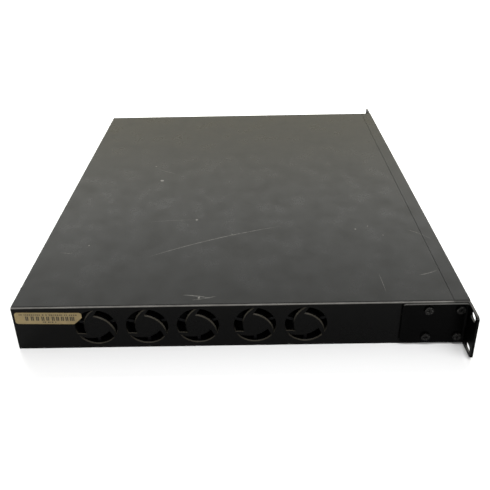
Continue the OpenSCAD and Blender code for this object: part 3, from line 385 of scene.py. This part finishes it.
def label_film(name):
    """Aged paper label: yellowed, with grubby patches and paper grain."""
    shader = Shader(name, Specular_IOR_Level=0.3)
    stain = shader.noise(13 * MM, 4, 0.65)
    fibre = shader.noise(0.5 * MM, 3, 0.7)
    base = shader.blend(shader.span(stain, 0.3, 0.72), (0.235, 0.175, 0.075), (0.165, 0.122, 0.052))
    shader.colour(shader.blend(shader.span(fibre, 0.35, 0.7, 0.0, 0.25), base,
                               (0.28, 0.22, 0.11)))
    shader.roughness(shader.span(fibre, 0.3, 0.7, 0.48, 0.66))
    shader.bump(fibre, 0.012 * MM)
    return shader.material


def label_ink(name):
    """Dark brown print, thin in places."""
    shader = Shader(name, Specular_IOR_Level=0.25)
    shader.colour(shader.blend(shader.span(shader.noise(0.8 * MM, 3), 0.45, 0.75),
                               (0.014, 0.011, 0.008), (0.05, 0.039, 0.025)))
    shader.roughness(shader.span(shader.noise(0.4 * MM, 2), 0.3, 0.7, 0.5, 0.65))
    return shader.material


def circuit_board(name, mask, track, pad):
    """Solder mask with runs of parallel tracks, vias and a fine woven base."""
    shader = Shader(name, Specular_IOR_Level=0.5)
    patch = shader.cells(17 * MM, "Color", "CHEBYCHEV")
    tone = shader.node("ShaderNodeSeparateColor")
    shader.feed(tone.inputs[0], patch)
    across = shader.maths("GREATER_THAN", tone.outputs[0], 0.5)
    axes = shader.xyz()
    x, y = axes[0], axes[1]
    pitch = 0.9 * MM
    runs = shader.maths("ADD", shader.maths("MULTIPLY", x, across),
                        shader.maths("MULTIPLY", y, shader.maths("SUBTRACT", 1.0, across)))
    stripe = shader.maths("FRACT", shader.maths("DIVIDE", runs, pitch))
    line = shader.maths("LESS_THAN", stripe, 0.38)
    routed = shader.maths("GREATER_THAN", tone.outputs[1], 0.42)
    line = shader.maths("MULTIPLY", line, routed)
    via = shader.span(shader.cells(4.2 * MM), 0.13, 0.1)
    weave = shader.noise(0.6 * MM, 2)
    base = shader.blend(shader.maths("MULTIPLY", line, 0.7), mask, track)
    base = shader.blend(shader.span(weave, 0.3, 0.8, 0.0, 0.2), base, tuple(v * 0.7 for v in mask))
    shader.colour(shader.blend(shader.maths("MULTIPLY", via, 0.8), base, pad))
    shader.roughness(shader.span(weave, 0.3, 0.7, 0.26, 0.4))
    shader.bump(shader.maths("MAXIMUM", line, via), 0.03 * MM)
    shader.bump(weave, 0.004 * MM)
    return shader.material


def brass(name, tint):
    """Turned and plated brass: fine turning lines and slight tarnish."""
    shader = Shader(name, Metallic=1.0)
    tarnish = shader.noise(3 * MM, 3, 0.6)
    rings = shader.noise(1.0, 1, 0.5, shader.turned((0, 0, 0), 0.0, (0.01, 0.01, 0.0002)))
    shader.colour(shader.blend(shader.span(tarnish, 0.4, 0.8), tint, tuple(v * 0.62 for v in tint)))
    shader.roughness(shader.span(tarnish, 0.3, 0.7, 0.22, 0.4))
    shader.bump(rings, 0.006 * MM)
    return shader.material


def chip_epoxy(name):
    """Chip package: matte moulding compound with fine pits."""
    shader = Shader(name, Specular_IOR_Level=0.35)
    pits = shader.noise(0.25 * MM, 2)
    smear = shader.noise(9 * MM, 3)
    shader.colour(shader.blend(smear, (0.018, 0.018, 0.02), (0.034, 0.033, 0.034)))
    shader.roughness(shader.span(pits, 0.3, 0.7, 0.42, 0.62))
    shader.bump(pits, 0.01 * MM)
    return shader.material


def extruded(name):
    """Clear anodised aluminium with the lines of its extrusion."""
    shader = Shader(name, Metallic=1.0)
    lines = shader.noise(1.0, 3, 0.6, shader.turned((0, 0, 0), 0.0, (0.09, 0.0006, 0.0006)))
    haze = shader.noise(20 * MM, 3)
    shader.colour(shader.blend(lines, (0.5, 0.51, 0.53), (0.68, 0.69, 0.71)))
    shader.roughness(shader.span(haze, 0.3, 0.7, 0.32, 0.46))
    shader.bump(lines, 0.008 * MM)
    return shader.material


def insulating_sheet(name):
    """Milky insulating film."""
    shader = Shader(name, Specular_IOR_Level=0.4)
    haze = shader.noise(20 * MM, 3)
    shader.colour(shader.blend(haze, (0.7, 0.69, 0.62), (0.82, 0.82, 0.76)))
    shader.roughness(shader.span(haze, 0.3, 0.7, 0.3, 0.44))
    shader.bump(haze, 0.05 * MM)
    return shader.material


def ferrite(name):
    """Varnished ferrite core and taped windings."""
    shader = Shader(name, Specular_IOR_Level=0.5)
    wraps = shader.maths("FRACT", shader.maths("DIVIDE", shader.xyz()[2], 1.3 * MM))
    wraps = shader.span(wraps, 0.0, 0.15)
    blotch = shader.noise(5 * MM, 4, 0.6)
    shader.colour(shader.blend(blotch, (0.035, 0.032, 0.03), (0.11, 0.085, 0.055)))
    shader.roughness(shader.span(blotch, 0.3, 0.7, 0.25, 0.5))
    shader.bump(wraps, 0.05 * MM)
    return shader.material


def sleeved_can(name):
    """Electrolytic capacitors: dark sleeve and bare lid."""
    shader = Shader(name)
    lid = shader.facing("Z", 0.6, 0.9)
    mottle = shader.noise(4 * MM, 2)
    sleeve = shader.blend(mottle, (0.018, 0.022, 0.06), (0.03, 0.036, 0.09))
    shader.colour(shader.blend(lid, sleeve, (0.62, 0.63, 0.65)))
    shader.metal(lid)
    shader.roughness(shader.span(mottle, 0.3, 0.7, 0.24, 0.36))
    shader.bump(mottle, 0.01 * MM)
    return shader.material


def insulated_wire(name, tint):
    """PVC wire insulation."""
    shader = Shader(name, Specular_IOR_Level=0.45)
    ripple = shader.noise(2.5 * MM, 3)
    shader.colour(shader.blend(ripple, tuple(v * 0.8 for v in tint), tint))
    shader.roughness(shader.span(ripple, 0.3, 0.7, 0.36, 0.5))
    shader.bump(ripple, 0.02 * MM)
    return shader.material


def wound_copper(name):
    """Enamelled copper windings."""
    shader = Shader(name, Metallic=1.0)
    turn = shader.maths("FRACT", shader.maths("DIVIDE", shader.xyz()[0], 0.35 * MM))
    blotch = shader.noise(2 * MM, 2)
    shader.colour(shader.blend(blotch, (0.42, 0.19, 0.08), (0.66, 0.33, 0.15)))
    shader.roughness(shader.span(blotch, 0.3, 0.7, 0.25, 0.4))
    shader.bump(turn, 0.05 * MM)
    return shader.material


PAINT = (0.0014, 0.0014, 0.0013)
EAR_PAINT = (0.0006, 0.0006, 0.0006)
SILVER = (0.7, 0.7, 0.7)

MATERIALS = {
    "black_paint": lambda n: powder_coat(n, PAINT, level=0.045, rough=0.3, box=COVER, marked=True,
                                         bend_wear_and_highlight=1.0, ledge_highlight=0.0),
    "ear_paint": lambda n: powder_coat(n, EAR_PAINT, level=0.02, rough=0.34,
                                       box=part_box("rack_ear_left"), marked=False, bend_wear_and_highlight=0.0,
                                       ledge_highlight=0.32),
    "black_screw": black_oxide,
    "zinc_steel": zinc_sheet,
    "label": label_film,
    "port_plastic": lambda n: moulded(n, (0.022, 0.022, 0.024), 0.5),
    "shield_steel": lambda n: nickel(n, (0.34, 0.335, 0.325), 0.32),
    "console_plastic": lambda n: moulded(n, (0.07, 0.19, 0.36), 0.46),
    "light_pipe": light_pipe,
    "button_plastic": lambda n: moulded(n, (0.11, 0.11, 0.115), 0.44),
    "plunger_plastic": lambda n: moulded(n, (0.55, 0.55, 0.53), 0.4),
    "green_board": lambda n: circuit_board(n, (0.012, 0.105, 0.045), (0.03, 0.2, 0.085),
                                           (0.62, 0.6, 0.52)),
    "tan_board": lambda n: circuit_board(n, (0.34, 0.24, 0.09), (0.44, 0.33, 0.15),
                                         (0.62, 0.6, 0.52)),
    "standoff_brass": lambda n: brass(n, (0.74, 0.6, 0.34)),
    "bright_screw": lambda n: nickel(n, SILVER, 0.26),
    "ground_brass": lambda n: brass(n, (0.7, 0.56, 0.28)),
    "chip": chip_epoxy,
    "heatsink": extruded,
    "insulator": insulating_sheet,
    "magnetics": ferrite,
    "capacitor": sleeved_can,
    "inlet_plastic": lambda n: moulded(n, (0.014, 0.014, 0.015), 0.42, 0.5),
    "pin_metal": lambda n: nickel(n, (0.78, 0.74, 0.64), 0.22),
    "mains_lead": lambda n: insulated_wire(n, (0.17, 0.11, 0.045)),
    "dc_lead": lambda n: insulated_wire(n, (0.46, 0.035, 0.025)),
    "fan_lead": lambda n: insulated_wire(n, (0.02, 0.02, 0.022)),
    "header_plastic": lambda n: moulded(n, (0.72, 0.69, 0.58), 0.42),
    # Fans and rotors: black plastic darkened far below the other black plastics, a painted shade for the
    # inside of the fan openings
    "fan_plastic": lambda n: moulded(n, (0.0022, 0.0022, 0.0025), 0.5, 0.5, 0.05),
    "rotor_plastic": lambda n: moulded(n, (0.002, 0.002, 0.0022), 0.45, 0.6, 0.05),
    "copper": wound_copper,
}


def dress_nodes():
    """Gives every CAD node the material of its record slot and returns the materials by slot."""
    made = {slot: build(slot) for slot, build in MATERIALS.items()}
    for part in frame["record"]["subparts"]:
        node = NODES[part["node"]]
        for place in node.material_slots:
            place.material = made[part["material_slot"]]
    return made


EAR_BEVEL = 0.25 * MM


def soften_edges(width, *nodes):
    """Rounds the sharp edges of CAD nodes by a small bevel."""
    for name in nodes:
        weld = NODES[name].modifiers.new("weld", "WELD")
        weld.merge_threshold = 1e-6
        bevel = NODES[name].modifiers.new("soft_edges", "BEVEL")
        bevel.width = width
        bevel.segments = 2
        bevel.limit_method = "ANGLE"
        bevel.angle_limit = math.radians(50)
        bevel.harden_normals = True


# ---------------------------------------------------------------- mesh pieces


def piece(name, mesh, material):
    """Turns a bmesh into a piece that rides on the chassis."""
    bmesh.ops.recalc_face_normals(mesh, faces=mesh.faces)
    data = bpy.data.meshes.new(name)
    mesh.to_mesh(data)
    mesh.free()
    data.materials.append(material)
    made = bpy.data.objects.new(name, data)
    bpy.context.scene.collection.objects.link(made)
    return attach(made, "chassis")


def add_block(mesh, centre, size, turn=None):
    """A small block about a centre, turned if a rotation is given."""
    place = Matrix.Translation(centre) @ (turn or Matrix.Identity(4)) @ Matrix.Diagonal((*size, 1))
    bmesh.ops.create_cube(mesh, size=1.0, matrix=place)


def add_strip(mesh, path, width, thickness):
    """A flat strip, width along X, that follows a path in the YZ plane."""
    rings = []
    for index, point in enumerate(path):
        before = path[max(index - 1, 0)]
        after = path[min(index + 1, len(path) - 1)]
        side = (after - before).normalized().cross(Vector((1, 0, 0)))
        ring = []
        for s, t in ((-1, -1), (1, -1), (1, 1), (-1, 1)):
            ring.append(mesh.verts.new(point + Vector((s * width / 2, 0, 0)) + side * (t * thickness / 2)))
        rings.append(ring)
    for a, b in zip(rings, rings[1:]):
        for k in range(4):
            mesh.faces.new((a[k], a[(k + 1) % 4], b[(k + 1) % 4], b[k]))
    mesh.faces.new(rings[0][::-1])
    mesh.faces.new(rings[-1])


# ---------------------------------------------------------------- label print


LABEL_TILT = 1.4
LABEL_HALF_W, LABEL_HALF_H = 28.0, 5.9
INK_T, INK_SUNK = 0.03, 0.015
BAR_W, BAR_H, BAR_PITCH = 0.95, 4.4, 1.4
BARS_TOP, BARS_FIRST, BARS_LAST = 3.9, 8.8, 48.6
RULE_H = 1.1
RULES = ((1.7, 3.8, 51.0), (9.2, 22.9, 34.0))


def label_print(material):
    """Plain bars and rules on the label, with no lettering. Sizes are in mm, and places are measured
    from the label's rear upper corner."""
    low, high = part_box("asset_label")
    centre = (low + high) / 2
    centre.x = low.x - INK_SUNK * MM
    tilt = Matrix.Rotation(math.radians(LABEL_TILT), 4, "X")
    mesh = bmesh.new()

    def bar(start, width, top, height):
        across = Vector((0, LABEL_HALF_W - start - width / 2, LABEL_HALF_H - top - height / 2)) * MM
        add_block(mesh, tilt @ across + centre, Vector((INK_T, width, height)) * MM, turn=tilt)

    draw = random.Random(7)
    at = BARS_FIRST
    while at < BARS_LAST:
        for _ in range(draw.choice((2, 2, 3))):
            bar(at, BAR_W, BARS_TOP, BAR_H)
            at += BAR_PITCH
        at += draw.uniform(0.8, 1.9)
    for top, at, last in RULES:
        while at < last:
            width = draw.uniform(0.7, 1.5)
            bar(at, width, top, RULE_H)
            at += width + draw.choice((0.5, 0.6, 0.7, 1.6))
    return piece("label_print", mesh, material)


# ---------------------------------------------------------------- port contacts


WIRES = 8
WIRE_PITCH = 1.02 * MM
WIRE_W, WIRE_T = 0.42 * MM, 0.22 * MM
WIRE_PATH = ((2.6, 0.35), (4.6, 0.45), (6.0, 0.9), (11.5, 3.5), (13.0, 3.8), (15.6, 3.8))
RIB = Vector((0.3, 5.0, 2.2)) * MM
RIB_DEPTH = 13.4 * MM
JACK_PITCH = 14 * MM
BLOCK_WALLS = 1.0 * MM
CONTACTS_OFF_MIDDLE = 1.0 * MM
CONSOLE_FLOOR = 1.2 * MM


def jack_wires(mesh, x, front, floor, up):
    """The bent contact wires of one jack. up is 1 with the latch at the top and -1 below."""
    for i in range(WIRES):
        at = x + (i - (WIRES - 1) / 2) * WIRE_PITCH
        path = [Vector((at, front + d * MM, floor + up * h * MM)) for d, h in WIRE_PATH]
        add_strip(mesh, path, WIRE_W, WIRE_T)


def jack_combs(mesh, x, front, floor, up):
    """The comb of thin ribs that keeps one jack's contact wires apart."""
    for i in range(WIRES + 1):
        at = x + (i - WIRES / 2) * WIRE_PITCH
        add_block(mesh, (at, front + RIB_DEPTH, floor + up * RIB.z / 2), RIB)


def port_contacts(materials):
    """Gold-plated wires and combs in both port blocks and in the console jack."""
    for letter in "ab":
        low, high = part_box("port_block_" + letter)
        columns = round((high.x - low.x) / JACK_PITCH)
        pitch = (high.x - low.x - BLOCK_WALLS) / columns
        middle = (low + high) / 2
        wires, combs = bmesh.new(), bmesh.new()
        for i in range(columns):
            x = middle.x + (i - (columns - 1) / 2) * pitch
            for up in (1, -1):
                floor = middle.z + up * CONTACTS_OFF_MIDDLE
                jack_wires(wires, x, low.y, floor, up)
                jack_combs(combs, x, low.y, floor, up)
        piece("port_contacts_" + letter, wires, materials["gold"])
        piece("port_combs_" + letter, combs, materials["port_plastic"])
    low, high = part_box("console_jack")
    x, floor = (low.x + high.x) / 2, low.z + CONSOLE_FLOOR
    wires, combs = bmesh.new(), bmesh.new()
    jack_wires(wires, x, low.y, floor, 1)
    jack_combs(combs, x, low.y, floor, 1)
    piece("console_contacts", wires, materials["gold"])
    piece("console_comb", combs, materials["console_plastic"])


# ---------------------------------------------------------------- board parts


HUBS = ("switch_chip", "cpu_chip", "memory_socket")
SMALL_PITCH = 3.2 * MM
SMALL, LARGER = Vector((1.6, 0.8, 0.6)) * MM, Vector((2.0, 1.25, 0.8)) * MM
LARGER_SHARE = 0.4
END_SHARE, END_PROUD = 0.18, 1.02


def small_parts(materials):
    """Small chip resistors and capacitors, in rows in front of and behind the larger chips."""
    draw = random.Random(11)
    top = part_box("main_board")[1].z
    bodies, ends = bmesh.new(), bmesh.new()
    for hub in HUBS:
        low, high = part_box(hub)
        rows = []
        for side, edge in ((-1, low.y), (1, high.y)):
            for i in range(int((high.x - low.x) / SMALL_PITCH)):
                rows.append((low.x + (i + 0.5) * SMALL_PITCH, edge + side * draw.uniform(15, 19) * MM))
        for x, y in rows:
            size = LARGER if draw.random() < LARGER_SHARE else SMALL
            z = top + size.z / 2
            add_block(bodies, (x, y, z), (size.x * (1 - 2 * END_SHARE), size.y, size.z))
            for s in (-1, 1):
                add_block(ends, (x + s * size.x * (1 - END_SHARE) / 2, y, z),
                          (size.x * END_SHARE, size.y * END_PROUD, size.z * END_PROUD))
    piece("chip_part_bodies", bodies, materials["header_plastic"])
    piece("chip_part_ends", ends, materials["bright_screw"])


# ---------------------------------------------------------------- stage, light and camera


FLOOR_HALF = 9.0
FLOOR_Z = -0.2 * MM
WORLD_STRENGTH = 0.3
WHITE = (1.0, 1.0, 1.0)
LENS = 43.68
SHIFT_Y = -0.143
CAMERA_AT = (-0.6118, -0.0108, 0.3580)
HEADING, PITCH, ROLL = 0.48, 26.44, -1.2


def plain_floor():
    shader = Shader("pale_floor", Specular_IOR_Level=0.1)
    haze = shader.noise(0.9, 2)
    shader.colour(shader.blend(haze, (0.86, 0.86, 0.86), (0.88, 0.88, 0.88)))
    shader.roughness(0.85)
    mesh = bmesh.new()
    bmesh.ops.create_grid(mesh, x_segments=1, y_segments=1, size=FLOOR_HALF)
    data = bpy.data.meshes.new("floor")
    mesh.to_mesh(data)
    mesh.free()
    data.materials.append(shader.material)
    floor = bpy.data.objects.new("floor", data)
    floor.location.z = FLOOR_Z
    bpy.context.scene.collection.objects.link(floor)


def soft_box(name, at, towards, size, power, tint):
    """A rectangular soft light that faces a point."""
    data = bpy.data.lights.new(name, "AREA")
    data.shape = "RECTANGLE"
    data.size, data.size_y = size
    data.energy = power
    data.color = tint
    light = bpy.data.objects.new(name, data)
    light.location = at
    light.rotation_euler = (Vector(towards) - Vector(at)).to_track_quat("-Z", "Y").to_euler()
    bpy.context.scene.collection.objects.link(light)


def studio():
    """Even white surroundings, a low warm and a high neutral panel beyond the far side, a soft top
    light, and two strips on the near side that trace the bends."""
    world = bpy.data.worlds.new("studio")
    world.use_nodes = True
    background = world.node_tree.nodes["Background"]
    background.inputs["Color"].default_value = (*WHITE, 1)
    background.inputs["Strength"].default_value = WORLD_STRENGTH
    bpy.context.scene.world = world
    soft_box("low_panel", at=(2.0, 0, 0.62), towards=(0, 0, 0.3), size=(3.8, 0.8), power=15.5,
             tint=(1.0, 0.92, 0.62))
    soft_box("high_panel", at=(2.0, 0, 1.75), towards=(0, 0, 0), size=(3.8, 1.4), power=130,
             tint=(0.97, 0.98, 0.95))
    soft_box("top_light", at=(0.2, 0, 3.0), towards=(0, 0, 0), size=(3.0, 3.0), power=24, tint=WHITE)
    soft_box("front_strip", at=(-1.2, -1.0, 1.6), towards=(-0.22, 0, 0), size=(1.6, 0.4), power=14,
             tint=WHITE)
    soft_box("edge_strip", at=(-0.76, 0.1, 2.07), towards=(-0.22, 0, 0), size=(1.6, 0.3), power=24,
             tint=WHITE)


def camera():
    """The view: from the fan side, a little above, with the ears on the right."""
    data = bpy.data.cameras.new("camera")
    data.lens = LENS
    data.shift_y = SHIFT_Y
    made = bpy.data.objects.new("camera", data)
    facing = Matrix.Rotation(math.radians(HEADING - 90), 4, "Z")
    tipped = Matrix.Rotation(math.radians(90 - PITCH), 4, "X")
    rolled = Matrix.Rotation(math.radians(ROLL), 4, "Z")
    made.matrix_world = Matrix.Translation(CAMERA_AT) @ facing @ tipped @ rolled
    bpy.context.scene.collection.objects.link(made)
    bpy.context.scene.camera = made


# ---------------------------------------------------------------- build

bpy.context.scene.view_settings.view_transform = "Standard"
camera()
materials = dress_nodes()
materials["gold"] = nickel("contact_gold", (0.85, 0.62, 0.24), 0.22)
materials["ink"] = label_ink("label_ink")
soften_edges(EAR_BEVEL, "rack_ear_left", "rack_ear_right")
label_print(materials["ink"])
port_contacts(materials)
small_parts(materials)
plain_floor()
studio()
